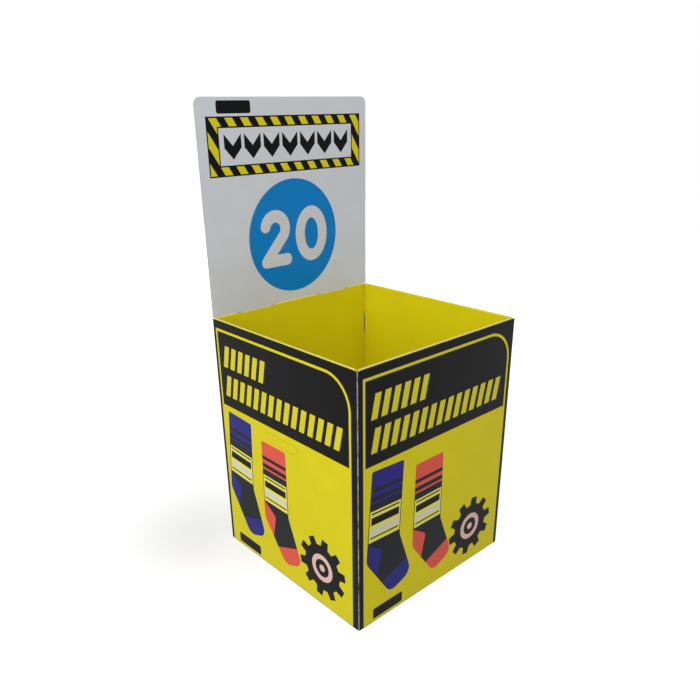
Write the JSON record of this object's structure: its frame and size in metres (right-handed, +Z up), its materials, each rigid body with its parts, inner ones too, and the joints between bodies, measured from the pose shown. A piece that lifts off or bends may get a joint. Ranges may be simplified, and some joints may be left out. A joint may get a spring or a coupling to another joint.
{
  "type": "cardboard dump bin",
  "caption": "Square floor-standing display bin of folded corrugated board with a false floor, hand flaps and a tall header card.",
  "frame": {"origin": "middle of the footprint, on the floor", "axes": "+Z up, the front faces -Y, the header card stands along the back wall at +Y"},
  "size_m": [0.55, 0.55, 1.2],
  "materials": {
    "printed_board": "corrugated board with a yellow and black print under a gloss film",
    "header_board": "white corrugated board with print under a gloss film",
    "white_board": "uncoated white corrugated board",
    "kraft_board": "uncoated brown corrugated board"
  },
  "bodies": {
    "bin": {"body_wrap": "printed_board", "header_card": "header_board", "floor_tray": "white_board", "cross_support_front": "kraft_board", "cross_support_back": "kraft_board", "long_support_left": "kraft_board", "long_support_right": "kraft_board", "base_pad": "kraft_board"},
    "left_flap": {"hand_flap_left": "printed_board"},
    "right_flap": {"hand_flap_right": "printed_board"}
  },
  "joints": [
    {"name": "left_flap_hinge", "type": "hinge", "parent": "bin", "child": "left_flap", "pos_m": [-0.2725, 0, 0.421], "axis": [0, -1, 0], "range_deg": [0, 90]},
    {"name": "right_flap_hinge", "type": "hinge", "parent": "bin", "child": "right_flap", "pos_m": [0.2725, 0, 0.421], "axis": [0, 1, 0], "range_deg": [0, 90]}
  ]
}
